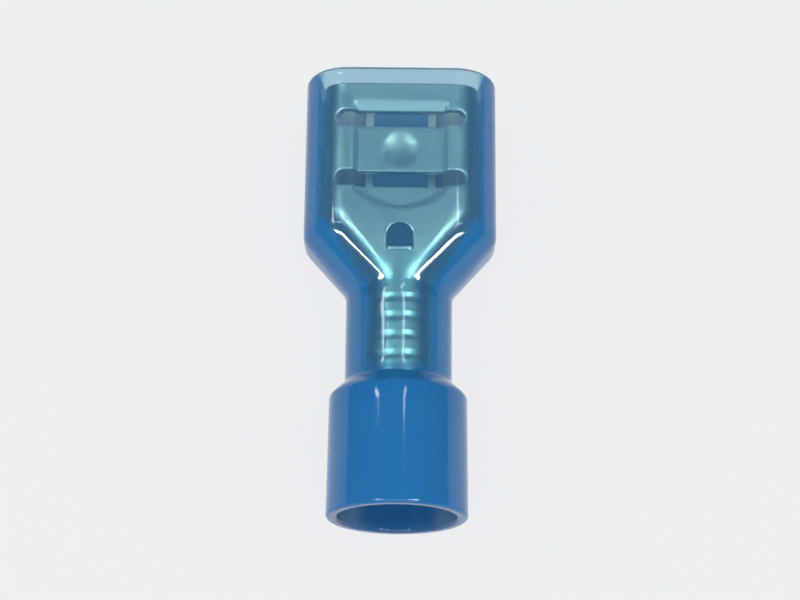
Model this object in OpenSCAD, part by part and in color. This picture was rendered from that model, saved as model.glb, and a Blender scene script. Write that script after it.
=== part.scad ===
// Fully insulated female spade terminal.
// A rolled receptacle and its crimp barrel, stamped from one strip of tinned brass, sit in a
// one-piece nylon housing with a flat head, a round neck and a wider sleeve for the wire.
// +Y points out of the mouth that takes the tab and +Z out of the receptacle's flat back.
// The origin lies on the ground under the middle of the part. Sizes are in millimetres.

/* [Tab] */
// Width of the mating tab
tab_w = 6.35; // [5.6:0.05:6.6]
// Thickness of the mating tab
tab_t = 0.8; // [0.6:0.05:0.95]
// Room beside the tab, each side
tab_side_clear = 0.275; // [0.2:0.025:0.35]
// How far the rolled edges spring open when the tab goes in
tab_grip = 0.08; // [0.02:0.02:0.12]

/* [Strip] */
// Thickness of the brass strip
strip_t = 0.4; // [0.34:0.02:0.46]
// Outer radius of the rolled edges and of the bends at their foot
roll_r = 1.25; // [1.15:0.05:1.4]
// Straight end of each rolled edge, pointing back at the base
tip_rise = 0.18; // [0.1:0.02:0.24]

/* [Receptacle] */
// Length of the flat base, front edge to the start of the throat
base_len = 6.58; // [6.4:0.02:7.2]
// Length of the rolled edges
wing_len = 5.7; // [5.3:0.1:6]
// Height of the plain side wall behind the rolled edges, past the bend
wall_rise = 0.9; // [0.5:0.1:1.1]
// Distance from the front edge to the middle of the first cross slot
first_slot = 1.8; // [1.7:0.05:2]
// Distance between the two cross slots
slot_pitch = 3.2; // [2.9:0.1:3.3]
// Width of a cross slot along the part
slot_gap = 0.8; // [0.5:0.05:0.95]
// How far a cross slot runs into the bend at each side
slot_wrap = 0.5; // [0.3:0.05:0.6]

/* [Platform] */
// Width of the platform that is pressed towards the tab
platform_w = 4.1; // [3.4:0.1:4.3]
// Depth to which the platform is pressed
press_depth = 0.3; // [0.2:0.02:0.36]
// Distance from the front edge to the top of the platform's front ramp
ramp_start = 0.92; // [0.8:0.02:1]
// Length of the front ramp
ramp_len = 0.5; // [0.4:0.02:0.6]
// Run of the ramps along the platform's sides and rear
side_ramp = 0.3; // [0.2:0.02:0.34]
// Distance from the front edge to the crown of the platform's round rear end
platform_end = 6.35; // [6.1:0.05:6.4]
// Rise of the round rear end
platform_bow = 0.9; // [0.7:0.05:1]
// Diameter of the detent dimple at the platform's surface
detent_d = 1.8; // [1.2:0.1:2]
// Depth of the detent dimple
detent_depth = 0.17; // [0.12:0.01:0.3]

/* [Tab stop] */
// Distance from the start of the throat to the round end of the tongue's hole
stop_offset = 0.8; // [0.6:0.05:0.95]
// Width of the tongue's hole
stop_w = 1.26; // [1:0.02:1.4]
// Length of the tongue's hole
stop_len = 1.4; // [1.2:0.05:1.5]
// Play around the tongue where it was sheared free
stop_play = 0.05; // [0.02:0.01:0.08]
// Angle at which the tongue is bent inwards
stop_angle = 78; // [60:1:85]

/* [Barrel] */
// Length of the folded throat between receptacle and barrel
throat_len = 3.6; // [3.2:0.1:4]
// Depth by which the throat's inside is cut below its walls, which leaves it open at the bottom
throat_open = 1; // [0.8:0.1:1.2]
// Length of the crimp barrel
barrel_len = 4.9; // [4.2:0.1:6]
// Inner diameter of the crimp barrel
wire_bore = 2.3; // [2:0.05:2.5]
// Width of the butt seam
seam_gap = 0.06; // [0.04:0.01:0.1]
// Number of serration grooves inside the barrel
serrations = 4; // [2:2:4]
// Distance between serration grooves
serration_pitch = 0.95; // [0.8:0.05:1]
// Width of a serration groove
serration_w = 0.3; // [0.2:0.05:0.5]
// Depth of a serration groove
serration_depth = 0.17; // [0.16:0.01:0.2]

/* [Head] */
// Depth of the receptacle's front edge inside the mouth
mouth_lip = 0.62; // [0.5:0.02:1]
// Room between the receptacle's sides and the housing
side_clear = 0.2; // [0.12:0.02:0.3]
// Room between the receptacle's flat back and the housing
back_clear = 0.5; // [0.4:0.01:0.6]
// Wall of the head
head_wall = 0.65; // [0.55:0.05:0.9]
// Corner radius of the head's outside, seen from the mouth
head_corner = 2.1; // [1.8:0.05:2.3]
// Rounding of the mouth's outer edge
mouth_round = 0.42; // [0.2:0.02:0.44]
// Rounding of the mouth's inner edge
mouth_lead = 0.15; // [0.08:0.01:0.2]

/* [Shoulders and neck] */
// Distance from the start of the throat to where the cavity starts to narrow
cavity_lag = 0.7; // [0.5:0.1:0.9]
// Distance from where the cavity starts to narrow to where the outside does
shoulder_lag = 0.4; // [0.4:0.05:0.6]
// Distance from the barrel's front to the end of the shoulders
shoulder_end = 0.75; // [0.6:0.05:0.9]
// Distance by which the cavity stops narrowing ahead of the outside
cavity_lead = 0.35; // [0.2:0.05:0.5]
// Play between barrel and neck
barrel_fit = 0.03; // [0.03:0.01:0.06]
// Wall of the neck
neck_wall = 1.05; // [0.95:0.01:1.08]

/* [Sleeve] */
// Length of the step between neck and sleeve
step_len = 1; // [0.8:0.1:1.4]
// Distance by which the step starts ahead of the barrel's rear end
step_lead = 0.2; // [0:0.05:0.4]
// Length of the sleeve
sleeve_len = 5.7; // [4.5:0.1:8]
// Inner diameter of the sleeve
sleeve_bore = 5.6; // [5.3:0.1:6]
// Wall of the sleeve
sleeve_wall = 0.5; // [0.4:0.05:0.7]
// Growth of the sleeve's radius towards the wire entry
sleeve_flare = 0.05; // [0.02:0.01:0.1]
// Rounding of the sleeve's rim, inside and outside
rim_round = 0.16; // [0.1:0.02:0.18]
// Length of the lip that the barrel's rear end butts against
lip_len = 0.2; // [0.15:0.05:0.4]
// Amount by which the lip's bore is wider than the barrel's, on the radius
lip_clear = 0.3; // [0.2:0.01:0.32]
// Length of the funnel that leads the wire from the sleeve to the lip
funnel_len = 1.3; // [1.1:0.1:1.6]

/* [Hidden] */
$fn = 96;

// Overlap of joined shapes, and of cutting shapes past the surfaces that they cut
over = 0.1;
// Smallest flat or straight kept in a lofted outline, so that no two of its points meet
sliver = 0.02;
// Amount by which the throat's faces stand outside those of the channel and barrel that it joins
skin = 0.02;
// Amount by which the shoulders end inside the neck, which gives the two a clean seam
tuck = 0.03;
// Distance by which the neck and its bore reach forward into the narrowing head and cavity
neck_reach = 1.3;
// Share of each tapering stretch that each of its ends takes to bend
ramp_round = 0.2;
// Segments in each bend of a lofted outline, and lofted outlines along a curve
bend_steps = 12;
loft_steps = 15;
round_steps = 5;

// Distances behind the mouth
d_front = mouth_lip;
d_wing = d_front + wing_len;
d_throat = d_front + base_len;
d_barrel = d_throat + throat_len;
d_barrel_end = d_barrel + barrel_len;
d_groove = d_barrel + (barrel_len - serration_w - (serrations - 1) * serration_pitch) / 2;
d_cavity = d_throat + cavity_lag;
d_shoulder = d_cavity + shoulder_lag;
d_neck = d_barrel + shoulder_end;
d_cavity_end = d_neck - cavity_lead;
d_step = d_barrel_end - step_lead;
d_sleeve = d_step + step_len;
d_lip = d_barrel_end + lip_len;
d_funnel = d_lip + funnel_len;
d_entry = d_sleeve + sleeve_len;

// Radii and half widths, measured from the barrel's axis
barrel_r = wire_bore / 2 + strip_t;
receptacle_hw = tab_w / 2 + tab_side_clear + strip_t;
bend_x = receptacle_hw - roll_r;
cavity_hw = receptacle_hw + side_clear;
cavity_hh = barrel_r + back_clear;
cavity_corner = head_corner - head_wall;
head_hw = cavity_hw + head_wall;
head_hh = cavity_hh + head_wall;
neck_bore_r = barrel_r + barrel_fit;
neck_r = neck_bore_r + neck_wall;
sleeve_bore_r = sleeve_bore / 2;
sleeve_r = sleeve_bore_r + sleeve_wall;
rim_r = sleeve_r + sleeve_flare;
lip_r = wire_bore / 2 + lip_clear;

// Heights above the barrel's axis
base_out = barrel_r;
base_in = base_out - strip_t;
platform_out = base_out - press_depth;
platform_in = base_in - press_depth;
bend_z = base_out - roll_r;
tip_z = platform_in - (tab_t - tab_grip);
roll_z = tip_z - tip_rise;

// Straight ramp from 0 to 1 with rounded ends
function ramp(s) =
    s < ramp_round ? s * s / (2 * ramp_round * (1 - ramp_round))
    : s > 1 - ramp_round ? 1 - (1 - s) * (1 - s) / (2 * ramp_round * (1 - ramp_round))
    : (s - ramp_round / 2) / (1 - ramp_round);
function blend(from, to, s) = from + (to - from) * s;

// Outline of a rounded rectangle across the part, d behind the mouth
function pillow(hw, hh, r, d) = [
    for (quarter = [0:3], step = [0:bend_steps])
    let (
        angle = 90 * (quarter + step / bend_steps),
        side = quarter == 0 || quarter == 3 ? 1 : -1,
        top = quarter < 2 ? 1 : -1
    )
    [side * (hw - r) + r * cos(angle), -d, top * (hh - r) + r * sin(angle)]
];

// Solid through a row of outlines that run from the mouth towards the wire entry
module loft(rings) {
    count = len(rings[0]);
    rear = (len(rings) - 1) * count;
    polyhedron(
        points = [for (ring = rings) each ring],
        faces = concat(
            [[for (j = [0:count - 1]) j]],
            [
                for (i = [0:len(rings) - 2], j = [0:count - 1])
                let (
                    a = i * count + j,
                    b = i * count + (j + 1) % count
                )
                each [[a, a + count, b + count], [a, b + count, b]]
            ],
            [[for (j = [count - 1:-1:0]) rear + j]]
        ),
        convexity = 6
    );
}

// Places what is drawn around the axis, with the mouth at 0, in the part's frame
module in_frame() {
    translate([0, d_entry / 2, max(rim_r, head_hh)]) children();
}

// Extrudes an outline drawn across the part from one distance behind the mouth to another
module run(d_from, d_to) {
    translate([0, -d_from, 0]) rotate([90, 0, 0]) linear_extrude(d_to - d_from) children();
}

// Turns an outline of radius and distance behind the mouth about the axis
module turned() {
    rotate([90, 0, 0]) rotate_extrude() children();
}

// ---- Housing ----

// Outside of the head and its shoulders, from the rounded mouth down to the round neck
module head_outside() {
    loft(concat(
        [
            for (step = [0:round_steps])
            let (
                angle = 90 * step / round_steps,
                inset = mouth_round * (1 - sin(angle))
            )
            pillow(head_hw - inset, head_hh - inset, head_corner - inset, mouth_round * (1 - cos(angle)))
        ],
        [
            for (step = [0:loft_steps])
            let (
                s = step / loft_steps,
                e = ramp(s)
            )
            pillow(
                blend(head_hw, neck_r - tuck, e), blend(head_hh, neck_r - tuck, e),
                blend(head_corner, neck_r - tuck - sliver, e), blend(d_shoulder, d_neck, s)
            )
        ]
    ));
}

// Cavity for the receptacle, open at the mouth and narrowing to the bore of the neck
module head_cavity() {
    loft(concat(
        [pillow(cavity_hw + mouth_lead, cavity_hh + mouth_lead, cavity_corner + mouth_lead, -over)],
        [
            for (step = [0:round_steps])
            let (
                angle = 90 * step / round_steps,
                outset = mouth_lead * (1 - sin(angle))
            )
            pillow(
                cavity_hw + outset, cavity_hh + outset, cavity_corner + outset,
                mouth_lead * (1 - cos(angle))
            )
        ],
        [
            for (step = [0:loft_steps])
            let (
                s = step / loft_steps,
                e = ramp(s)
            )
            pillow(
                blend(cavity_hw, neck_bore_r - barrel_fit, e), blend(cavity_hh, neck_bore_r - barrel_fit, e),
                blend(cavity_corner, neck_bore_r - barrel_fit - sliver, e), blend(d_cavity, d_cavity_end, s)
            )
        ]
    ));
}

// Half section of the neck, the step and the sleeve, solid inside
module rear_profile() {
    polygon(concat(
        [[0, d_neck - neck_reach], [neck_r, d_neck - neck_reach]],
        [
            for (step = [0:loft_steps])
            let (s = step / loft_steps)
            [blend(neck_r, sleeve_r, ramp(s)), blend(d_step, d_sleeve, s)]
        ],
        [[rim_r, d_entry - rim_round], [rim_r - rim_round, d_entry - rim_round]],
        [[rim_r - rim_round, d_entry], [0, d_entry]]
    ));
    translate([rim_r - rim_round, d_entry - rim_round]) circle(rim_round, $fn = 32);
}

// Half section of the bore through neck, lip, funnel and sleeve
module bore_profile() {
    translate([0, d_cavity_end - neck_reach])
        square([neck_bore_r, d_barrel_end - d_cavity_end + neck_reach]);
    translate([0, d_barrel_end - over]) square([lip_r, lip_len + over]);
    polygon([[0, d_lip], [lip_r, d_lip], [sleeve_bore_r, d_funnel], [0, d_funnel]]);
    translate([0, d_funnel]) square([sleeve_bore_r, d_entry - d_funnel + over]);
    difference() {
        translate([0, d_entry - rim_round]) square([sleeve_bore_r + rim_round, rim_round + over]);
        translate([sleeve_bore_r + rim_round, d_entry - rim_round]) circle(rim_round, $fn = 32);
    }
}

// Nylon housing
module housing() {
    color([0.11, 0.44, 0.7]) in_frame() difference() {
        union() {
            head_outside();
            turned() rear_profile();
        }
        head_cavity();
        turned() bore_profile();
    }
}

// ---- Terminal ----

// Section of the base with a bend and a plain wall on each side, rising to a height below the bend
module channel_section(rise) {
    translate([-bend_x, base_in]) square([2 * bend_x, strip_t]);
    for (side = [0, 1]) mirror([side, 0]) {
        intersection() {
            translate([bend_x, bend_z]) hoop();
            translate([bend_x, bend_z]) square(roll_r + over);
        }
        translate([receptacle_hw - strip_t, bend_z - rise]) square([strip_t, rise]);
    }
}

// The same section with a rolled edge on each side that points back at the base
module rolled_section() {
    channel_section(bend_z - roll_z);
    for (side = [0, 1]) mirror([side, 0]) {
        intersection() {
            translate([bend_x, roll_z]) hoop();
            translate([bend_x - roll_r - over, roll_z - roll_r - over])
                square([2 * (roll_r + over), roll_r + over]);
        }
        translate([bend_x - roll_r, roll_z]) square([strip_t, tip_rise]);
    }
}

// Ring of the strip's thickness, bent to the radius of the rolled edges
module hoop() {
    difference() {
        circle(roll_r);
        circle(roll_r - strip_t);
    }
}

// Solid that narrows from the channel to the barrel, inset from the strip's outer face and reaching
// past both ends, with its walls going down to a depth below the bend
module throat_core(inset, reach, depth) {
    hull() {
        run(d_throat - reach, d_throat) for (side = [-1, 1]) {
            translate([side * bend_x, bend_z]) circle(roll_r - inset, $fn = 64);
            translate([side * (receptacle_hw - inset) - (side + 1) / 2 * strip_t, bend_z - depth])
                square([strip_t, depth]);
        }
        run(d_barrel, d_barrel + reach) circle(barrel_r - inset, $fn = 64);
    }
}

// Throat that folds up from the channel into the barrel
module throat() {
    difference() {
        throat_core(-skin, over, wall_rise);
        throat_core(strip_t - skin, 2 * over, wall_rise + throat_open);
    }
}

// Crimp barrel with its bore, its serration grooves and its butt seam
module barrel() {
    difference() {
        turned() translate([wire_bore / 2, d_barrel]) square([strip_t, barrel_len]);
        turned() for (i = [0:serrations - 1])
            translate([0, d_groove + i * serration_pitch])
                square([wire_bore / 2 + serration_depth, serration_w]);
    }
}

// Butt seam along the barrel and the rear of the throat
module seam() {
    translate([-seam_gap / 2, -d_barrel_end - over, -barrel_r - over])
        cube([seam_gap, barrel_len + throat_len + over, barrel_r]);
}

// Outline of the pressed platform seen from the back, grown by the run of its ramps
module platform_outline(grow, front) {
    hw = platform_w / 2 + grow;
    bow_start = d_front + platform_end - platform_bow;
    bow_r = (pow(platform_w / 2, 2) + pow(platform_bow, 2)) / (2 * platform_bow) + grow;
    translate([-hw, -bow_start]) square([2 * hw, bow_start - front]);
    intersection() {
        translate([0, bow_r - grow - platform_bow - bow_start]) circle(bow_r, $fn = 64);
        translate([-hw, -bow_start - platform_bow - grow]) square([2 * hw, platform_bow + grow]);
    }
}

// One face of the pressed platform, as the solid between a height and the press depth below it
module pressed(top) {
    ramp_top = d_front + ramp_start;
    hull() {
        translate([0, 0, top]) linear_extrude(sliver) platform_outline(side_ramp, ramp_top);
        translate([0, 0, top - press_depth])
            linear_extrude(sliver) platform_outline(0, ramp_top + ramp_len);
    }
}

// Ball that presses the detent dimple, d behind the mouth, grown by the strip for its inner face
module detent_ball(grow) {
    ball_r = (pow(detent_d / 2, 2) + pow(detent_depth, 2)) / (2 * detent_depth);
    translate([0, -d_front - first_slot - slot_pitch / 2, platform_out - detent_depth + ball_r])
        sphere(ball_r + grow);
}

// Slots across the base, running into the bends
module cross_slots() {
    half = bend_x + slot_wrap - slot_gap / 2;
    height = strip_t + press_depth + 2 * over;
    for (i = [0, 1]) translate([0, -d_front - first_slot - i * slot_pitch, platform_in - over]) {
        for (side = [-1, 1]) translate([side * half, 0, 0]) cylinder(h = height, d = slot_gap);
        translate([-half, -slot_gap / 2, 0]) cube([2 * half, slot_gap, height]);
    }
}

// Arch-shaped outline with its straight end on the X axis and its round end towards the mouth
module arch(width, length) {
    translate([-width / 2, 0]) square([width, length - width / 2]);
    translate([0, length - width / 2]) circle(d = width);
}

// Hole that the tongue was sheared from
module stop_hole() {
    translate([0, -d_throat - stop_offset - stop_len, base_in - over])
        linear_extrude(strip_t + 2 * over) arch(stop_w, stop_len);
}

// Tongue bent inwards, which stops the tab
module stop_tongue() {
    translate([0, -d_throat - stop_offset - stop_len, base_out - strip_t / 2])
        rotate([-stop_angle, 0, 0]) translate([0, -stop_play, -strip_t / 2])
            linear_extrude(strip_t) arch(stop_w - 2 * stop_play, stop_len);
}

// Brass terminal
module terminal() {
    color([0.76, 0.75, 0.7]) in_frame() {
        difference() {
            union() {
                run(d_front, d_wing) rolled_section();
                run(d_wing, d_throat) channel_section(wall_rise);
                throat();
                barrel();
                pressed(base_in);
                intersection() {
                    detent_ball(strip_t);
                    translate([-detent_d, -d_wing, platform_in - detent_depth])
                        cube([2 * detent_d, wing_len, detent_depth + strip_t / 2]);
                }
            }
            pressed(base_out);
            detent_ball(0);
            cross_slots();
            stop_hole();
            seam();
        }
        stop_tongue();
    }
}

housing();
terminal();
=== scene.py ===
"""Female spade terminal: a tinned receptacle and crimp barrel in a translucent blue nylon housing."""

import logging
import math
from dataclasses import dataclass
from enum import Enum
from typing import Any, Callable

import bmesh
import bpy
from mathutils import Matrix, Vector


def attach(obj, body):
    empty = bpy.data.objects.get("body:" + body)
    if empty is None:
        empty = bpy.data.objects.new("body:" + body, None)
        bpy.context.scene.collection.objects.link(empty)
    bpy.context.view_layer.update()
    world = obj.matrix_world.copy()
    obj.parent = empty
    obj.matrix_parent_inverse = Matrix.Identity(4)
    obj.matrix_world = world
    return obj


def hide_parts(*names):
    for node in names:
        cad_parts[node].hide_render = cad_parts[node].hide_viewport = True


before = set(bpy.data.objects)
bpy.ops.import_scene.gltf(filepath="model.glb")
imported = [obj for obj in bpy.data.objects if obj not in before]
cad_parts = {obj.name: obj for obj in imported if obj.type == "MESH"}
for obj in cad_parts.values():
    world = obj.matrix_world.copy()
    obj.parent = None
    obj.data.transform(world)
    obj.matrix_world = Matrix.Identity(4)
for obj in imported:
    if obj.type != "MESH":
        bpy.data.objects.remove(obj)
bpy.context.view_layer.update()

LOG = logging.getLogger("spade_terminal")
MM = 0.001
AXIS_Z = 3.35 * MM
OUTER_FACE = "outer_face"


class Slot(Enum):
    """Names of the part's two finishes."""

    NYLON = "nylon"
    TINNED_BRASS = "tinned_brass"


# ---- Colours and nodes ----


def linear(code: str) -> tuple[float, float, float, float]:
    """Turns an sRGB hex colour into the linear colour that a shader takes.

    Args:
        code: Six hex digits after a hash sign.

    Returns:
        Linear red, green and blue with an alpha of one.
    """
    parts = [int(code[i : i + 2], 16) / 255 for i in (1, 3, 5)]
    red, green, blue = (c / 12.92 if c <= 0.04045 else ((c + 0.055) / 1.055) ** 2.4 for c in parts)
    return red, green, blue, 1.0


def add(
    tree: bpy.types.NodeTree, kind: str, inputs: dict[Any, Any] | None = None, **settings: Any
) -> bpy.types.Node:
    """Adds a node with its settings and inputs.

    Args:
        tree: Node tree that takes the node.
        kind: Node type.
        inputs: Inputs by name or number, each with a value or the output socket that feeds it.
        settings: Properties of the node.

    Returns:
        The new node.
    """
    node = tree.nodes.new(kind)
    for name, value in settings.items():
        setattr(node, name, value)
    for name, value in (inputs or {}).items():
        matches = [socket for socket in node.inputs if socket.name == name and socket.enabled]
        socket = node.inputs[name] if isinstance(name, int) else matches[0]
        if isinstance(value, bpy.types.NodeSocket):
            tree.links.new(value, socket)
        else:
            socket.default_value = value
    return node


def sole(node: bpy.types.Node, name: str) -> bpy.types.NodeSocket:
    """Finds the enabled output of a node that has several of one name."""
    return next(socket for socket in node.outputs if socket.name == name and socket.enabled)


def blank_material(name: str) -> tuple[bpy.types.Material, bpy.types.NodeTree]:
    """Makes a material with an empty node tree.

    Args:
        name: Name of the material.

    Returns:
        The material and its tree.
    """
    material = bpy.data.materials.new(name)
    material.use_nodes = True
    material.node_tree.nodes.clear()
    return material, material.node_tree


# ---- Finishes ----


@dataclass(frozen=True)
class DyedNylon:
    """Injection-moulded polyamide 6.6 with a blue dye.

    The eye sees glossy blue nylon, clear enough over the metal to show its slots and ridges in teal.
    Beside the metal and along the sleeve a higher milky share is painted shade: a deeper, saturated blue.
    """

    # Colours of the milky body, of the clear surface, and of the light let through where the milky share is
    # low and where it is high
    body: str = "#0668A6"
    clear: str = "#F2F8F8"
    shade: str = "#F4F6F4"
    deep: str = "#04305C"
    # Shares of red, green and blue light lost in each millimetre of wall
    loss_per_mm: tuple[float, float, float] = (0.54, 0.11, 0.06)
    # Share of milky body over the metal and beside it, and the width over which one fades to the other; the
    # higher share beside the metal is painted shade
    head_share: float = 0.3
    beside_shade_share: float = 0.8
    bare_fade: float = 0.5
    # Half width of the metal beneath at the barrel and at the receptacle, and where each begins
    barrel_y: float = -0.2
    channel_y: float = 3.4
    barrel_hw: float = 1.3
    channel_hw: float = 3.65
    # Share of milky body on the sleeve, painted shade that deepens its blue, and the stretch over which it is
    # reached
    sleeve_shade_share: float = 0.84
    shade_start_y: float = -3.8
    shade_full_y: float = -5.0
    # Part of that share kept on the inner wall
    inside_share: float = 0.2
    roughness: float = 0.07
    ior: float = 1.53
    # Size and height of the soft waves that the mould leaves in the gloss
    wave_mm: float = 1.1
    wave_height_mm: float = 0.004

    def build(self) -> bpy.types.Material:
        """Builds the nylon's material.

        Returns:
            The material.
        """
        material, tree = blank_material("moulded_polyamide_blue")
        place = add(tree, "ShaderNodeTexCoord")
        along = add(tree, "ShaderNodeSeparateXYZ", {0: place.outputs["Object"]})
        across = add(tree, "ShaderNodeMath", {0: along.outputs["X"]}, operation="ABSOLUTE")
        metal_hw = add(
            tree,
            "ShaderNodeMapRange",
            {
                "Value": along.outputs["Y"],
                "From Min": self.barrel_y * MM,
                "From Max": self.channel_y * MM,
                "To Min": self.barrel_hw * MM,
                "To Max": self.channel_hw * MM,
            },
        )
        beside = add(
            tree, "ShaderNodeMath", {0: across.outputs[0], 1: metal_hw.outputs[0]}, operation="SUBTRACT"
        )
        # Painted shade: the milky share rises beside the metal, darkening the nylon there
        beside_shade = add(
            tree,
            "ShaderNodeMapRange",
            {
                "Value": beside.outputs[0],
                "From Max": self.bare_fade * MM,
                "To Min": self.head_share,
                "To Max": self.beside_shade_share,
            },
            interpolation_type="SMOOTHSTEP",
        )
        # Painted shade: the milky share rises along the sleeve, deepening its blue
        sleeve_shade = add(
            tree,
            "ShaderNodeMapRange",
            {
                "Value": along.outputs["Y"],
                "From Min": self.shade_start_y * MM,
                "From Max": self.shade_full_y * MM,
                "To Min": beside_shade.outputs[0],
                "To Max": self.sleeve_shade_share,
            },
            interpolation_type="SMOOTHSTEP",
        )
        face = add(tree, "ShaderNodeAttribute", attribute_name=OUTER_FACE)
        skin = add(
            tree,
            "ShaderNodeMapRange",
            {"Value": face.outputs["Fac"], "To Min": self.inside_share, "To Max": 1.0},
        )
        share = add(tree, "ShaderNodeMath", {0: sleeve_shade.outputs[0], 1: skin.outputs[0]}, operation="MULTIPLY")
        wave = add(
            tree,
            "ShaderNodeTexNoise",
            {
                "Vector": place.outputs["Object"],
                "Scale": 1 / (self.wave_mm * MM),
                "Detail": 1.5,
                "Roughness": 0.4,
            },
        )
        bump = add(
            tree,
            "ShaderNodeBump",
            {"Height": wave.outputs[0], "Strength": 1.0, "Distance": self.wave_height_mm * MM},
        )
        clear = add(
            tree,
            "ShaderNodeBsdfPrincipled",
            {
                "Base Color": linear(self.clear),
                "Roughness": self.roughness,
                "IOR": self.ior,
                "Transmission Weight": 1.0,
                "Normal": bump.outputs[0],
            },
        )
        body = add(
            tree,
            "ShaderNodeBsdfPrincipled",
            {
                "Base Color": linear(self.body),
                "Roughness": self.roughness,
                "IOR": self.ior,
                "Normal": bump.outputs[0],
            },
        )
        nylon = add(
            tree, "ShaderNodeMixShader", {0: share.outputs[0], 1: clear.outputs[0], 2: body.outputs[0]}
        )
        rays = add(tree, "ShaderNodeLightPath")
        passed = add(
            tree,
            "ShaderNodeMix",
            {"Factor": share.outputs[0], "A": linear(self.shade), "B": linear(self.deep)},
            data_type="RGBA",
        )
        through = add(tree, "ShaderNodeBsdfTransparent", {"Color": sole(passed, "Result")})
        surface = add(
            tree,
            "ShaderNodeMixShader",
            {0: rays.outputs["Is Shadow Ray"], 1: nylon.outputs[0], 2: through.outputs[0]},
        )
        kept = (*(1 - loss for loss in self.loss_per_mm), 1.0)
        dye = add(tree, "ShaderNodeVolumeAbsorption", {"Color": kept, "Density": 1 / MM})
        add(tree, "ShaderNodeOutputMaterial", {"Surface": surface.outputs[0], "Volume": dye.outputs[0]})
        return material


@dataclass(frozen=True)
class TinnedBrass:
    """Half-hard brass strip with bright tin plate, rolled, stamped and formed.

    The eye sees a warm silver with a fine grain along the part and slow changes from bright to dull.
    """

    # Colours where the plate is thick and where the brass warms it
    tin: str = "#EFECE4"
    warm: str = "#E2DAC6"
    # Roughness where the plate is brightest and where it is dullest
    smooth: float = 0.28
    dull: float = 0.4
    # Width, stretch along the part and height of the rolled grain, and size of the clouds
    grain_mm: float = 0.06
    grain_stretch: float = 0.06
    grain_height_mm: float = 0.004
    cloud_mm: float = 1.2

    def build(self) -> bpy.types.Material:
        """Builds the tin plate's material.

        Returns:
            The material.
        """
        material, tree = blank_material("bright_tinned_brass")
        place = add(tree, "ShaderNodeTexCoord")
        stretched = add(
            tree,
            "ShaderNodeMapping",
            {"Vector": place.outputs["Object"], "Scale": (1.0, self.grain_stretch, 1.0)},
        )
        grain = add(
            tree,
            "ShaderNodeTexNoise",
            {"Vector": stretched.outputs[0], "Scale": 1 / (self.grain_mm * MM), "Detail": 2.0},
        )
        cloud = add(
            tree,
            "ShaderNodeTexNoise",
            {"Vector": place.outputs["Object"], "Scale": 1 / (self.cloud_mm * MM), "Detail": 3.0},
        )
        colour = add(
            tree,
            "ShaderNodeMix",
            {"Factor": cloud.outputs[0], "A": linear(self.tin), "B": linear(self.warm)},
            data_type="RGBA",
        )
        rough = add(
            tree,
            "ShaderNodeMapRange",
            {
                "Value": cloud.outputs[0],
                "From Min": 0.3,
                "From Max": 0.7,
                "To Min": self.smooth,
                "To Max": self.dull,
            },
        )
        bump = add(
            tree,
            "ShaderNodeBump",
            {"Height": grain.outputs[0], "Strength": 0.5, "Distance": self.grain_height_mm * MM},
        )
        metal = add(
            tree,
            "ShaderNodeBsdfPrincipled",
            {
                "Base Color": sole(colour, "Result"),
                "Metallic": 1.0,
                "Roughness": rough.outputs[0],
                "Normal": bump.outputs[0],
            },
        )
        add(tree, "ShaderNodeOutputMaterial", {"Surface": metal.outputs[0]})
        return material


@dataclass(frozen=True)
class PaleFloor:
    """Matt paper: an even pale grey that keeps a faint shadow."""

    colour: str = "#ECEEF0"
    # Share of its own light in the floor when seen directly, and when seen through the nylon
    seen_light: float = 0.93
    through_light: float = 0.05

    def build(self) -> bpy.types.Material:
        """Builds the floor's material.

        Returns:
            The material.
        """
        material, tree = blank_material("matt_paper")
        rays = add(tree, "ShaderNodeLightPath")
        seen = add(
            tree,
            "ShaderNodeMath",
            {0: rays.outputs["Is Camera Ray"], 1: rays.outputs["Is Glossy Ray"]},
            operation="MAXIMUM",
        )
        direct = add(tree, "ShaderNodeMath", {0: seen.outputs[0], 1: self.seen_light}, operation="MULTIPLY")
        part = add(
            tree,
            "ShaderNodeMix",
            {"Factor": rays.outputs["Is Transmission Ray"], "A": direct.outputs[0], "B": self.through_light},
        )
        paper = add(tree, "ShaderNodeBsdfDiffuse", {"Color": linear(self.colour)})
        glow = add(tree, "ShaderNodeEmission", {"Color": linear(self.colour), "Strength": 1.0})
        mix = add(
            tree, "ShaderNodeMixShader", {0: sole(part, "Result"), 1: paper.outputs[0], 2: glow.outputs[0]}
        )
        add(tree, "ShaderNodeOutputMaterial", {"Surface": mix.outputs[0]})
        return material


# ---- Modelling by hand ----


def select_none() -> None:
    """Leaves edit mode and deselects every object."""
    if bpy.context.object and bpy.context.object.mode != "OBJECT":
        bpy.ops.object.mode_set(mode="OBJECT")
    bpy.ops.object.select_all(action="DESELECT")


def activate(*objects: bpy.types.Object) -> None:
    """Selects these objects alone and makes the first one active."""
    select_none()
    for item in objects:
        item.select_set(True)
    bpy.context.view_layer.objects.active = objects[0]


def pick(piece: bpy.types.Object, kind: str, wanted: Callable[[Any], bool]) -> int:
    """Selects in edit mode the elements that pass a test.

    Args:
        piece: Object in edit mode.
        kind: VERT, EDGE or FACE.
        wanted: Test of one element.

    Returns:
        Number of elements selected.
    """
    bpy.ops.mesh.select_mode(type=kind)
    bpy.ops.mesh.select_all(action="DESELECT")
    mesh = bmesh.from_edit_mesh(piece.data)
    group = {"VERT": mesh.verts, "EDGE": mesh.edges, "FACE": mesh.faces}[kind]
    chosen = [part for part in group if wanted(part)]
    for part in chosen:
        part.select_set(True)
    mesh.select_flush_mode()
    bmesh.update_edit_mesh(piece.data)
    return len(chosen)


def apply(piece: bpy.types.Object, kind: str, **settings: Any) -> None:
    """Adds a modifier to a piece and applies it.

    Args:
        piece: The piece.
        kind: Modifier type.
        settings: Properties of the modifier.
    """
    activate(piece)
    modifier = piece.modifiers.new(kind.lower(), kind)
    for name, value in settings.items():
        setattr(modifier, name, value)
    bpy.ops.object.modifier_apply(modifier=modifier.name)


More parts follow.
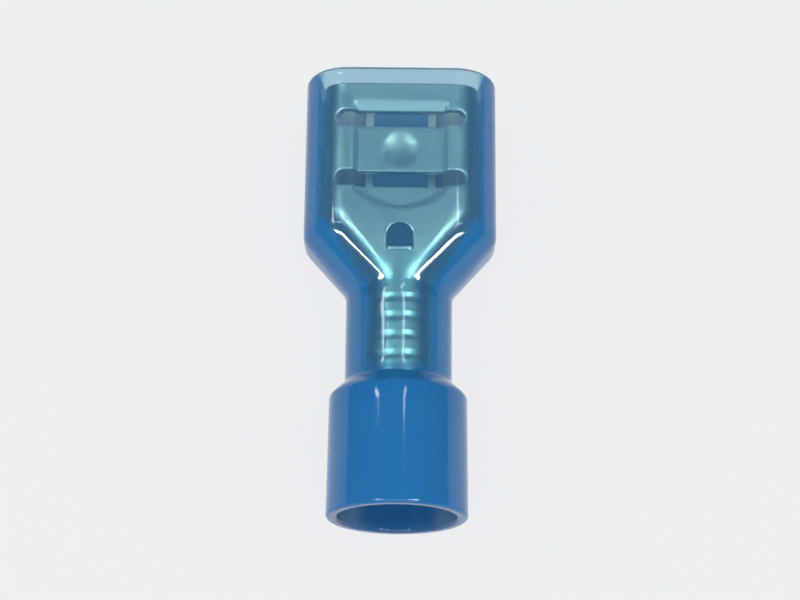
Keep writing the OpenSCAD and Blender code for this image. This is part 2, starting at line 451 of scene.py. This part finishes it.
def dress(
    piece: bpy.types.Object, name: str, material: bpy.types.Material, sharp: float
) -> None:
    """Sets a piece's origin, shading, finish and place in the part.

    Args:
        piece: The piece.
        name: Its name.
        material: Its material.
        sharp: Angle in degrees past which an edge is shaded sharp.
    """
    activate(piece)
    bpy.ops.object.transform_apply(location=True, rotation=True, scale=True)
    bpy.ops.object.shade_smooth_by_angle(angle=math.radians(sharp))
    piece.name = piece.data.name = name
    piece.data.materials.clear()
    piece.data.materials.append(material)
    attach(piece, "root")
    LOG.info("%s: %d faces", name, len(piece.data.polygons))


def ease(s: float) -> float:
    """Smooth step from 0 to 1."""
    s = min(max(s, 0.0), 1.0)
    return s * s * (3 - 2 * s)


def ramp(s: float, rounding: float = 0.2) -> float:
    """Straight ramp from 0 to 1 with rounded ends.

    Args:
        s: Place along the ramp, from 0 to 1.
        rounding: Share of the ramp that each end takes to bend.

    Returns:
        Height of the ramp.
    """
    if s < rounding:
        return s * s / (2 * rounding * (1 - rounding))
    if s > 1 - rounding:
        return 1 - (1 - s) ** 2 / (2 * rounding * (1 - rounding))
    return (s - rounding / 2) / (1 - rounding)


def spaced(marks: list[float], pitch: float) -> list[float]:
    """Fills the stretches between marks with evenly spaced places.

    Args:
        marks: Places that are kept, in order.
        pitch: Widest spacing.

    Returns:
        All places in order.
    """
    places = [marks[0]]
    for start, end in zip(marks, marks[1:]):
        count = max(1, math.ceil(abs(end - start) / pitch - 1e-6))
        places += [start + (end - start) * i / count for i in range(1, count + 1)]
    return places


# ---- Housing ----


@dataclass(frozen=True)
class Ring:
    """Outline across the housing at one place along Y, a rounded rectangle about the axis.

    A round outline spreads its points evenly by a share, from 0 to 1.
    """

    y: float
    half_w: float
    half_h: float
    corner: float
    spread: float = 0.0

    def points(self, arc: int, flat_w: int, flat_h: int) -> list[tuple[float, float]]:
        """Places the outline's points.

        Args:
            arc: Segments in each corner.
            flat_w: Points between the corners along the top and along the bottom.
            flat_h: Points between the corners along each side.

        Returns:
            X and height above the axis, in order of the angle about the axis.
        """
        out: list[tuple[float, float]] = []
        dx, dz = self.half_w - self.corner, self.half_h - self.corner
        centres = [(dx, dz), (-dx, dz), (-dx, -dz), (dx, -dz)]
        for quarter, (cx, cz) in enumerate(centres):
            for i in range(arc + 1):
                turn = math.radians(90 * (quarter + i / arc))
                out.append((cx + self.corner * math.cos(turn), cz + self.corner * math.sin(turn)))
            end, (nx, nz) = out[-1], centres[(quarter + 1) % 4]
            turn = math.radians(90 * (quarter + 1))
            start = (nx + self.corner * math.cos(turn), nz + self.corner * math.sin(turn))
            count = flat_w if quarter % 2 == 0 else flat_h
            for i in range(1, count + 1):
                s = i / (count + 1)
                out.append((end[0] + (start[0] - end[0]) * s, end[1] + (start[1] - end[1]) * s))
        out.sort(key=lambda p: math.atan2(p[1], p[0]))
        if self.spread:
            total = len(out)
            even = [-math.pi + 2 * math.pi * (i + 0.5) / total for i in range(total)]
            turns = [math.atan2(z, x) for x, z in out]
            mixed = [a + (b - a) * self.spread for a, b in zip(turns, even)]
            out = [(self.half_w * math.cos(a), self.half_w * math.sin(a)) for a in mixed]
        return out


@dataclass
class Housing:
    """Nylon housing in millimetres: flat head, shoulders, neck, step and wire sleeve."""

    mouth_y: float = 11.1
    shoulder_y: float = 2.8
    neck_y: float = -0.45
    step_y: float = -4.4
    sleeve_y: float = -5.4
    entry_y: float = -11.1
    head_hw: float = 4.7
    head_hh: float = 2.65
    head_corner: float = 2.1
    wall: float = 0.65
    neck_r: float = 2.57
    sleeve_r: float = 3.3
    rim_r: float = 3.35
    mouth_round: float = 0.42
    mouth_lead: float = 0.15
    rim_round: float = 0.16
    cavity_y: float = 3.2
    cavity_end_y: float = -0.1
    neck_bore_r: float = 1.58
    lip_y: float = -4.6
    lip_r: float = 1.45
    lip_len: float = 0.2
    funnel_y: float = -6.1
    sleeve_bore_r: float = 2.8
    arc: int = 14
    flat_w: int = 8
    flat_h: int = 2
    sliver: float = 0.02
    taper_steps: int = 24
    step_steps: int = 12
    step_rounding: float = 0.3
    mouth_steps: int = 8
    lead_steps: int = 5
    rim_steps: int = 6

    def round_ring(self, y: float, radius: float, spread: float = 1.0) -> Ring:
        """Circular outline with its points spread evenly by a share."""
        return Ring(y, radius, radius, radius - self.sliver, spread)

    def head_rings(self, start: Ring, y_to: float, radius: float) -> list[Ring]:
        """Outlines that narrow smoothly from a rounded rectangle to a circle.

        Args:
            start: First outline.
            y_to: Place where the circle is reached.
            radius: Radius of the circle.

        Returns:
            The outlines without the first one.
        """
        rings = []
        for i in range(1, self.taper_steps + 1):
            e = ramp(i / self.taper_steps)
            rings.append(
                Ring(
                    start.y + (y_to - start.y) * i / self.taper_steps,
                    start.half_w + (radius - start.half_w) * e,
                    start.half_h + (radius - start.half_h) * e,
                    start.corner + (radius - self.sliver - start.corner) * e,
                )
            )
        return rings

    def outside(self) -> list[Ring]:
        """Outlines of the outer face from the mouth to the wire entry."""
        rings = []
        for i in range(self.mouth_steps + 1):
            turn = math.radians(90 * i / self.mouth_steps)
            inset = self.mouth_round * (1 - math.sin(turn))
            y = self.mouth_y - self.mouth_round * (1 - math.cos(turn))
            rings.append(Ring(y, self.head_hw - inset, self.head_hh - inset, self.head_corner - inset))
        for y in spaced([rings[-1].y, self.shoulder_y], 1.0)[1:]:
            rings.append(Ring(y, self.head_hw, self.head_hh, self.head_corner))
        rings += self.head_rings(rings[-1], self.neck_y, self.neck_r)
        for y in spaced([self.neck_y, self.neck_y - 1.0, self.step_y], 0.5)[1:]:
            rings.append(self.round_ring(y, self.neck_r, min(1.0, self.neck_y - y)))
        for i in range(1, self.step_steps + 1):
            rise = ramp(i / self.step_steps, self.step_rounding)
            radius = self.neck_r + (self.sleeve_r - self.neck_r) * rise
            y = self.step_y + (self.sleeve_y - self.step_y) * i / self.step_steps
            rings.append(self.round_ring(y, radius))
        for y in spaced([self.sleeve_y, self.entry_y + self.rim_round], 0.8)[1:]:
            s = (self.sleeve_y - y) / (self.sleeve_y - self.entry_y)
            rings.append(self.round_ring(y, self.sleeve_r + (self.rim_r - self.sleeve_r) * s))
        for i in range(1, self.rim_steps + 1):
            turn = math.radians(90 * i / self.rim_steps)
            radius = self.rim_r - self.rim_round * (1 - math.cos(turn))
            rings.append(self.round_ring(self.entry_y + self.rim_round * (1 - math.sin(turn)), radius))
        return rings

    def inside(self) -> list[Ring]:
        """Outlines of the inner face from the mouth to the wire entry."""
        rings = []
        hw, hh, corner = self.head_hw - self.wall, self.head_hh - self.wall, self.head_corner - self.wall
        for i in range(self.lead_steps + 1):
            turn = math.radians(90 * i / self.lead_steps)
            out = self.mouth_lead * (1 - math.sin(turn))
            y = self.mouth_y - self.mouth_lead * (1 - math.cos(turn))
            rings.append(Ring(y, hw + out, hh + out, corner + out))
        for y in spaced([rings[-1].y, self.cavity_y], 1.0)[1:]:
            rings.append(Ring(y, hw, hh, corner))
        rings += self.head_rings(rings[-1], self.cavity_end_y, self.neck_bore_r)
        for y in spaced([self.cavity_end_y, self.cavity_end_y - 1.0, self.lip_y], 0.5)[1:]:
            rings.append(self.round_ring(y, self.neck_bore_r, min(1.0, self.cavity_end_y - y)))
        lip_rear = self.lip_y - self.lip_len
        for y, radius in (
            (self.lip_y - 0.01, self.lip_r),
            (lip_rear, self.lip_r),
            (lip_rear - 0.04, self.lip_r + 0.03),
            (self.funnel_y + 0.1, self.sleeve_bore_r - 0.11),
            (self.funnel_y, self.sleeve_bore_r - 0.03),
            (self.funnel_y - 0.08, self.sleeve_bore_r),
        ):
            rings.append(self.round_ring(y, radius))
        for y in spaced([self.funnel_y - 0.08, self.entry_y + self.rim_round], 0.8)[1:]:
            rings.append(self.round_ring(y, self.sleeve_bore_r))
        for i in range(1, self.rim_steps + 1):
            turn = math.radians(90 * i / self.rim_steps)
            radius = self.sleeve_bore_r + self.rim_round * (1 - math.cos(turn))
            rings.append(self.round_ring(self.entry_y + self.rim_round * (1 - math.sin(turn)), radius))
        return rings

    def place(self, tube: bpy.types.Object, ring: Ring) -> None:
        """Moves the selected loop of a tube onto an outline.

        Args:
            tube: Tube in edit mode with one loop selected.
            ring: The outline.
        """
        mesh = bmesh.from_edit_mesh(tube.data)
        loop = sorted(
            (v for v in mesh.verts if v.select), key=lambda v: math.atan2(v.co.z - AXIS_Z, v.co.x)
        )
        for vert, (x, z) in zip(loop, ring.points(self.arc, self.flat_w, self.flat_h), strict=True):
            vert.co = (x * MM, ring.y * MM, AXIS_Z + z * MM)
        bmesh.update_edit_mesh(tube.data)

    def tube(self, rings: list[Ring]) -> bpy.types.Object:
        """Extrudes a circle ring by ring along the housing.

        Args:
            rings: Outlines from the mouth to the wire entry.

        Returns:
            An open tube.
        """
        select_none()
        count = 4 * (self.arc + 1) + 2 * self.flat_w + 2 * self.flat_h
        bpy.ops.mesh.primitive_circle_add(
            vertices=count,
            radius=rings[0].half_w * MM,
            location=(0, rings[0].y * MM, AXIS_Z),
            rotation=(math.radians(90), 0, math.radians(180 / count)),
        )
        tube = bpy.context.object
        bpy.ops.object.transform_apply(location=True, rotation=True, scale=True)
        bpy.ops.object.mode_set(mode="EDIT")
        bpy.ops.mesh.select_mode(type="VERT")
        bpy.ops.mesh.select_all(action="SELECT")
        self.place(tube, rings[0])
        for before, ring in zip(rings, rings[1:]):
            bpy.ops.mesh.extrude_edges_move(
                TRANSFORM_OT_translate={"value": (0, (ring.y - before.y) * MM, 0)}
            )
            self.place(tube, ring)
        bpy.ops.object.mode_set(mode="OBJECT")
        return tube

    def build(self, material: bpy.types.Material) -> bpy.types.Object:
        """Builds the wall with both faces, closed at the mouth and at the wire entry.

        Args:
            material: Nylon.

        Returns:
            The housing.
        """
        inside = self.inside()
        outer, inner = self.tube([inside[0], *self.outside(), inside[-1]]), self.tube(inside)
        for tube, value in ((outer, 1.0), (inner, 0.0)):
            mark = tube.data.attributes.new(OUTER_FACE, "FLOAT", "POINT")
            mark.data.foreach_set("value", [value] * len(tube.data.vertices))
        activate(outer, inner)
        bpy.ops.object.join()
        bpy.ops.object.mode_set(mode="EDIT")
        bpy.ops.mesh.select_all(action="SELECT")
        bpy.ops.mesh.remove_doubles(threshold=0.0001 * MM)
        bpy.ops.mesh.normals_make_consistent(inside=False)
        bpy.ops.object.mode_set(mode="OBJECT")
        dress(outer, "nylon_housing", material, 50)
        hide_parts("housing")
        return outer


# ---- Terminal ----


@dataclass
class Terminal:
    """Stamped terminal in millimetres: a flat blank is punched, formed round the axis and pressed.

    Heights are above the barrel's axis, and bends and barrel are measured at the strip's middle.
    """

    front_y: float = 10.48
    wing_y: float = 4.78
    relief: float = 0.1
    throat_y: float = 3.9
    barrel_y: float = 0.3
    rear_y: float = -4.6
    strip: float = 0.4
    edge_round: float = 0.05
    base_z: float = 1.35
    bend_x: float = 2.6
    bend_z: float = 0.3
    bend_r: float = 1.05
    roll_z: float = -0.05
    tip_z: float = 0.13
    wall_rise: float = 0.9
    crown_turn: float = 20.0
    barrel_r: float = 1.35
    seam_gap: float = 0.06
    slots_y: tuple[float, ...] = (8.68, 5.48)
    slot_half: float = 0.4
    slot_reach: float = 3.12
    hole_half: float = 0.63
    hole_y: float = 1.7
    hole_top_y: float = 3.1
    tongue_half: float = 0.58
    tongue_len: float = 1.35
    tongue_turn: float = 78.0
    platform_half: float = 2.05
    platform_y: float = 9.06
    platform_ramp: float = 0.5
    side_ramp: float = 0.3
    crown_y: float = 4.13
    bow: float = 0.9
    press: float = 0.3
    detent_y: float = 7.08
    detent_r: float = 0.9
    detent_depth: float = 0.17
    grooves_y: tuple[float, ...] = (-0.725, -1.675, -2.625, -3.575)
    groove_half: float = 0.15
    groove_depth: float = 0.17
    groove_show: float = 0.035
    groove_ramp: float = 0.03
    throat_ease: float = 0.4
    tongue_edge: float = 0.04
    crease: float = 50.0
    pitch: float = 0.1

    @property
    def bend_len(self) -> float:
        """Length of the strip in a quarter bend."""
        return self.bend_r * math.pi / 2

    @property
    def wall_a(self) -> float:
        """Distance along the strip from the centre line to the end of the bend."""
        return self.bend_x + self.bend_len

    @property
    def roll_a(self) -> float:
        """Distance along the strip to the start of the rolled edge."""
        return self.wall_a + self.bend_z - self.roll_z

    @property
    def curl_a(self) -> float:
        """Distance along the strip to the end of the rolled edge's curl."""
        return self.roll_a + 2 * self.bend_len

    @property
    def tip_a(self) -> float:
        """Distance along the strip to the tip of the rolled edge."""
        return self.curl_a + self.tip_z - self.roll_z

    @property
    def channel_a(self) -> float:
        """Distance along the strip to the edge of the plain wall."""
        return self.wall_a + self.wall_rise

    def columns(self) -> list[float]:
        """Places of the blank's grid lines across the strip."""
        marks = [0, self.bend_x, self.wall_a, self.roll_a, self.channel_a, self.curl_a, self.tip_a]
        half = spaced(marks, self.pitch)
        return [-a for a in reversed(half[1:])] + half

    def rows(self) -> list[float]:
        """Places of the blank's grid lines along the part."""
        marks = [self.front_y]
        for y in self.slots_y:
            marks += [y + self.slot_half, y - self.slot_half]
        marks += [self.wing_y, self.wing_y - self.relief, self.throat_y, self.hole_y, self.barrel_y]
        for y in self.grooves_y:
            for edge in (self.groove_half, -self.groove_half):
                marks += [y + edge + self.groove_ramp, y + edge - self.groove_ramp]
        return spaced(marks + [self.rear_y], self.pitch * 1.2)

    def slot_end(self, y: float) -> float:
        """Distance along the strip at which a slot ends.

        Args:
            y: Place along the part.

        Returns:
            The distance, or 0 outside the slots.
        """
        for centre in self.slots_y:
            off = abs(y - centre)
            if off < self.slot_half:
                return self.slot_reach - self.slot_half + math.sqrt(self.slot_half**2 - off**2)
        return 0.0

    def blank(self) -> bpy.types.Object:
        """Punches the flat blank, with the strip's width along X.

        Returns:
            A flat sheet without thickness.
        """
        columns, rows = self.columns(), self.rows()
        select_none()
        bpy.ops.mesh.primitive_grid_add(
            x_subdivisions=len(columns) - 1, y_subdivisions=len(rows) - 1, size=2
        )
        sheet = bpy.context.object
        bpy.ops.object.mode_set(mode="EDIT")
        mesh = bmesh.from_edit_mesh(sheet.data)
        for vert in mesh.verts:
            column = round((vert.co.x + 1) / 2 * (len(columns) - 1))
            row = round((1 - vert.co.y) / 2 * (len(rows) - 1))
            vert.co = (columns[column] * MM, rows[row] * MM, 0)
        bmesh.update_edit_mesh(sheet.data)

        def waste(face: bmesh.types.BMFace) -> bool:
            """Tells whether a face lies past the blank's edges or in a slot."""
            centre = face.calc_center_median() / MM
            a, y = abs(centre.x), centre.y
            edge = self.roll_a if y > self.wing_y - self.relief else self.channel_a
            return (y < self.wing_y and a > edge) or a < self.slot_end(y)

        pick(sheet, "FACE", waste)
        bpy.ops.mesh.delete(type="FACE")
        self.round_slots(sheet)
        bpy.ops.object.mode_set(mode="OBJECT")
        return sheet

    def round_slots(self, sheet: bpy.types.Object) -> None:
        """Moves the points round the slots' ends onto half circles.

        Args:
            sheet: Blank in edit mode.
        """
        mesh = bmesh.from_edit_mesh(sheet.data)
        straight = self.slot_reach - self.slot_half
        for vert in mesh.verts:
            a, y = abs(vert.co.x) / MM, vert.co.y / MM
            if not vert.is_boundary or a < straight or a > self.slot_reach + self.pitch:
                continue
            for centre in self.slots_y:
                off = y - centre
                if abs(off) > self.slot_half + 1e-6:
                    continue
                if abs(off) < 0.7 * self.slot_half:
                    vert.co.x = math.copysign(self.slot_end(y) * MM, vert.co.x)
                elif a < self.slot_reach:
                    rise = math.sqrt(self.slot_half**2 - (a - straight) ** 2)
                    vert.co.y = (centre + math.copysign(rise, off)) * MM
        bmesh.update_edit_mesh(sheet.data)

    def channel(self, a: float, rolled: bool) -> tuple[float, float]:
        """Place across the receptacle of a point of the strip.

        Args:
            a: Distance along the strip from the centre line.
            rolled: True where the edges are rolled back at the base.

        Returns:
            X and height above the axis.
        """
        if a <= self.bend_x:
            return a, self.base_z
        if a <= self.wall_a:
            turn = (a - self.bend_x) / self.bend_r
            return self.bend_x + self.bend_r * math.sin(turn), self.bend_z + self.bend_r * math.cos(turn)
        if not rolled or a <= self.roll_a:
            return self.bend_x + self.bend_r, self.bend_z - (a - self.wall_a)
        if a <= self.curl_a:
            turn = (a - self.roll_a) / self.bend_r
            return self.bend_x + self.bend_r * math.cos(turn), self.roll_z - self.bend_r * math.sin(turn)
        return self.bend_x - self.bend_r, self.roll_z + (a - self.curl_a)

    def barrel(self, a: float) -> tuple[float, float]:
        """Place round the barrel of a point of the strip.

        Args:
            a: Distance along the strip from the centre line.

        Returns:
            X and height above the axis.
        """
        seam = 180 - math.degrees(self.seam_gap / 2 / self.barrel_r)
        if a <= self.bend_x:
            turn = self.crown_turn * a / self.bend_x
        elif a <= self.wall_a:
            turn = self.crown_turn + (90 - self.crown_turn) * (a - self.bend_x) / self.bend_len
        else:
            turn = 90 + (seam - 90) * (a - self.wall_a) / self.wall_rise
        turn = math.radians(turn)
        return self.barrel_r * math.sin(turn), self.barrel_r * math.cos(turn)

    def form(self, sheet: bpy.types.Object) -> None:
        """Rolls the blank round the axis.

        Args:
            sheet: Flat blank.
        """
        for vert in sheet.data.vertices:
            a, y = vert.co.x / MM, vert.co.y / MM
            x, z = self.channel(abs(a), y > self.wing_y - self.relief / 2)
            s = (self.throat_y - y) / (self.throat_y - self.barrel_y)
            s = min(max(s, 0.0), 1.0)
            s += self.throat_ease * (ease(s) - s)
            bx, bz = self.barrel(abs(a)) if s > 0 else (x, z)
            x, z = x + (bx - x) * s, z + (bz - z) * s
            vert.co = (math.copysign(x, a) * MM, y * MM, AXIS_Z + z * MM)

    def shear_hole(self, sheet: bpy.types.Object) -> None:
        """Opens the arch-shaped hole that the stop tongue was sheared from.

        Args:
            sheet: Formed sheet.
        """
        round_y = self.hole_top_y - self.hole_half
        activate(sheet)
        bpy.ops.object.mode_set(mode="EDIT")

        def inside(face: bmesh.types.BMFace) -> bool:
            """Tells whether a face of the base lies in the arch."""
            x, y, z = face.calc_center_median() / MM
            if z * MM < AXIS_Z or y <= self.hole_y or abs(x) > self.hole_half:
                return False
            return y < round_y or math.hypot(x, y - round_y) < self.hole_half

        pick(sheet, "FACE", inside)
        bpy.ops.mesh.delete(type="FACE")
        mesh = bmesh.from_edit_mesh(sheet.data)
        for vert in mesh.verts:
            x, y, z = vert.co / MM
            near = self.hole_y - 0.05 < y < self.hole_top_y + 0.2 and abs(x) < self.hole_half + 0.2
            if not (vert.is_boundary and near and z * MM > AXIS_Z):
                continue
            if y > round_y:
                reach = math.hypot(x, y - round_y)
                vert.co.x = x / reach * self.hole_half * MM
                vert.co.y = (round_y + (y - round_y) / reach * self.hole_half) * MM
            elif y > self.hole_y + 0.03:
                vert.co.x = math.copysign(self.hole_half * MM, x)
        bmesh.update_edit_mesh(sheet.data)
        bpy.ops.object.mode_set(mode="OBJECT")

    def pressed(self, x: float, y: float) -> float:
        """Depth to which the base is pressed in at a point.

        Args:
            x: Place across the part.
            y: Place along the part.

        Returns:
            The depth.
        """
        side = ease((self.platform_half + self.side_ramp - abs(x)) / self.side_ramp)
        front = min(max((self.platform_y + self.platform_ramp - y) / self.platform_ramp, 0.0), 1.0)
        bow_r = (self.platform_half**2 + self.bow**2) / (2 * self.bow)
        reach = math.hypot(x, y - self.crown_y - bow_r) if y < self.crown_y + bow_r else 0.0
        rear = ease((bow_r + self.side_ramp - reach) / self.side_ramp)
        depth = self.press * min(side, front, rear)
        ball_r = (self.detent_r**2 + self.detent_depth**2) / (2 * self.detent_depth)
        off = math.hypot(x, y - self.detent_y)
        if off < self.detent_r:
            depth += math.sqrt(ball_r**2 - off**2) - (ball_r - self.detent_depth)
        return depth

    def press_in(self, sheet: bpy.types.Object) -> None:
        """Presses the platform, the detent and the barrel's serrations.

        Args:
            sheet: Formed sheet with its thickness.
        """
        for vert in sheet.data.vertices:
            x, y, z = vert.co.x / MM, vert.co.y / MM, (vert.co.z - AXIS_Z) / MM
            if y > self.throat_y - 0.2 and abs(x) < self.bend_x and z > self.base_z - self.strip:
                vert.co.z -= self.pressed(x, y) * MM
            reach = math.hypot(x, z)
            if y > self.barrel_y or reach < 1e-6:
                continue
            for centre in self.grooves_y:
                inside = self.groove_half + self.groove_ramp - abs(y - centre)
                depth = min(max(inside / (2 * self.groove_ramp), 0.0), 1.0)
                grown = self.groove_depth if reach < self.barrel_r - 0.05 else -self.groove_show
                scale = 1 + grown * depth / reach
                vert.co.x *= scale
                vert.co.z = AXIS_Z + (vert.co.z - AXIS_Z) * scale

    def tongue(self) -> bpy.types.Object:
        """Bends the stop tongue in from its hinge.

        Returns:
            The tongue.
        """
        select_none()
        width, length = 2 * self.tongue_half, self.tongue_len
        bpy.ops.mesh.primitive_plane_add(
            size=1, location=(0, (self.hole_y + length / 2) * MM, AXIS_Z + self.base_z * MM)
        )
        plate = bpy.context.object
        plate.scale = (width * MM, length * MM, 1)
        bpy.ops.object.transform_apply(location=True, rotation=True, scale=True)
        bpy.ops.object.mode_set(mode="EDIT")
        pick(plate, "VERT", lambda v: v.co.y > self.hole_y * MM + 0.5 * MM)
        bpy.ops.mesh.bevel(offset=0.999 * self.tongue_half * MM, segments=10, affect="VERTICES")
        bpy.ops.mesh.select_all(action="SELECT")
        bpy.ops.transform.rotate(
            value=math.radians(self.tongue_turn),
            orient_axis="X",
            center_override=(0, self.hole_y * MM, AXIS_Z + self.base_z * MM),
        )
        bpy.ops.object.mode_set(mode="OBJECT")
        apply(plate, "SOLIDIFY", thickness=self.strip * MM, offset=0.0)
        apply(
            plate,
            "BEVEL",
            width=self.tongue_edge * MM,
            segments=2,
            limit_method="ANGLE",
            angle_limit=math.radians(self.crease),
        )
        return plate

    def build(self, material: bpy.types.Material) -> bpy.types.Object:
        """Builds the terminal from its blank.

        Args:
            material: Tinned brass.

        Returns:
            The terminal.
        """
        sheet = self.blank()
        self.form(sheet)
        self.shear_hole(sheet)
        apply(sheet, "SOLIDIFY", thickness=self.strip * MM, offset=0.0, use_even_offset=True)
        apply(
            sheet,
            "BEVEL",
            width=self.edge_round * MM,
            segments=2,
            limit_method="ANGLE",
            angle_limit=math.radians(self.crease),
            use_clamp_overlap=False,
        )
        self.press_in(sheet)
        tongue = self.tongue()
        activate(sheet, tongue)
        bpy.ops.object.join()
        bpy.ops.object.mode_set(mode="EDIT")
        bpy.ops.mesh.select_all(action="SELECT")
        bpy.ops.mesh.normals_make_consistent(inside=False)
        bpy.ops.object.mode_set(mode="OBJECT")
        dress(sheet, "tinned_terminal", material, 40)
        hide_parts("terminal")
        return sheet


# ---- Studio ----


@dataclass(frozen=True)
class Lamp:
    """Soft area lamp aimed at the part, placed by the direction in which it lies."""

    name: str
    direction: tuple[float, float, float]
    size: tuple[float, float]
    radiance: float
    colour: str = "#FFFFFF"
    distance: float = 0.4

    def build(self, aim: Vector) -> None:
        """Adds the lamp.

        Args:
            aim: Point that it faces.
        """
        data = bpy.data.lights.new(self.name, "AREA")
        data.shape = "RECTANGLE"
        data.size, data.size_y = self.size
        data.energy = 4 * self.radiance * self.size[0] * self.size[1]
        data.color = linear(self.colour)[:3]
        lamp = bpy.data.objects.new(self.name, data)
        lamp.location = aim + Vector(self.direction).normalized() * self.distance
        lamp.rotation_euler = (lamp.location - aim).to_track_quat("Z", "Y").to_euler()
        bpy.context.scene.collection.objects.link(lamp)


@dataclass
class Studio:
    """Pale floor, soft light and the camera above and behind the wire entry.

    The camera's place is in millimetres, and the floor and the lamps are in metres.
    """

    aim: tuple[float, float, float] = (0.04, -0.24, 3.35)
    distance: float = 100.0
    elevation: float = 70.7
    roll: float = 0.6
    lens: float = 92.7
    sensor: float = 36.0
    floor_size: float = 0.8
    sky: str = "#FFFFFF"
    horizon_strength: float = 0.3
    zenith_strength: float = 0.37
    lamps: tuple[Lamp, ...] = (
        Lamp("rear_softbox", (0.0, -0.65, 0.76), (0.4, 0.3), 1.2),
        Lamp("left_lamp", (-0.5, -0.06, 0.86), (0.05, 0.12), 24.0),
        Lamp("right_lamp", (0.45, -0.06, 0.89), (0.05, 0.12), 24.0),
        Lamp("left_line", (-0.54, 0.33, 0.773), (0.02, 0.05), 8.0),
        Lamp("right_line", (0.18, 0.33, 0.925), (0.02, 0.05), 6.0),
    )

    def camera(self) -> None:
        """Adds the camera."""
        aim = Vector(self.aim) * MM
        tilt = math.radians(self.elevation)
        back = Vector((0, -math.cos(tilt), math.sin(tilt)))
        data = bpy.data.cameras.new("camera")
        data.sensor_width = self.sensor
        data.lens = self.lens
        data.clip_start = 0.001
        camera = bpy.data.objects.new("camera", data)
        camera.location = aim + back * self.distance * MM
        turn = back.to_track_quat("Z", "Y").to_matrix()
        camera.rotation_euler = turn.to_euler()
        camera.rotation_euler.rotate_axis("Z", math.radians(self.roll))
        bpy.context.scene.collection.objects.link(camera)
        bpy.context.scene.camera = camera

    def floor(self) -> None:
        """Adds the floor."""
        select_none()
        bpy.ops.mesh.primitive_plane_add(size=self.floor_size, location=(0, 0, 0))
        floor = bpy.context.object
        floor.name = "floor"
        floor.data.materials.append(PaleFloor().build())

    def world(self) -> None:
        """Lights the part evenly and shows a pale background."""
        world = bpy.data.worlds.new("studio")
        world.use_nodes = True
        tree = world.node_tree
        tree.nodes.clear()
        rays = add(tree, "ShaderNodeLightPath")
        place = add(tree, "ShaderNodeTexCoord")
        height = add(tree, "ShaderNodeSeparateXYZ", {0: place.outputs["Generated"]})
        strength = add(
            tree,
            "ShaderNodeMapRange",
            {
                "Value": height.outputs["Z"],
                "From Min": 0.1,
                "From Max": 0.85,
                "To Min": self.horizon_strength,
                "To Max": self.zenith_strength,
            },
        )
        soft = add(tree, "ShaderNodeBackground", {"Color": linear(self.sky), "Strength": strength.outputs[0]})
        shown = add(tree, "ShaderNodeBackground", {"Color": linear(PaleFloor().colour), "Strength": 1.0})
        mix = add(
            tree,
            "ShaderNodeMixShader",
            {0: rays.outputs["Is Camera Ray"], 1: soft.outputs[0], 2: shown.outputs[0]},
        )
        add(tree, "ShaderNodeOutputWorld", {"Surface": mix.outputs[0]})
        bpy.context.scene.world = world

    def build(self) -> None:
        """Builds the whole studio."""
        self.camera()
        self.floor()
        self.world()
        for lamp in self.lamps:
            lamp.build(Vector(self.aim) * MM)
        bpy.context.scene.view_settings.view_transform = "Standard"
        LOG.info("studio: %d lamps", len(self.lamps))


def main() -> None:
    """Builds the terminal's pieces and the studio."""
    logging.basicConfig(level=logging.INFO, format="%(message)s")
    Terminal().build(TinnedBrass().build())
    Housing().build(DyedNylon().build())
    Studio().build()


if __name__ == "__main__":
    main()
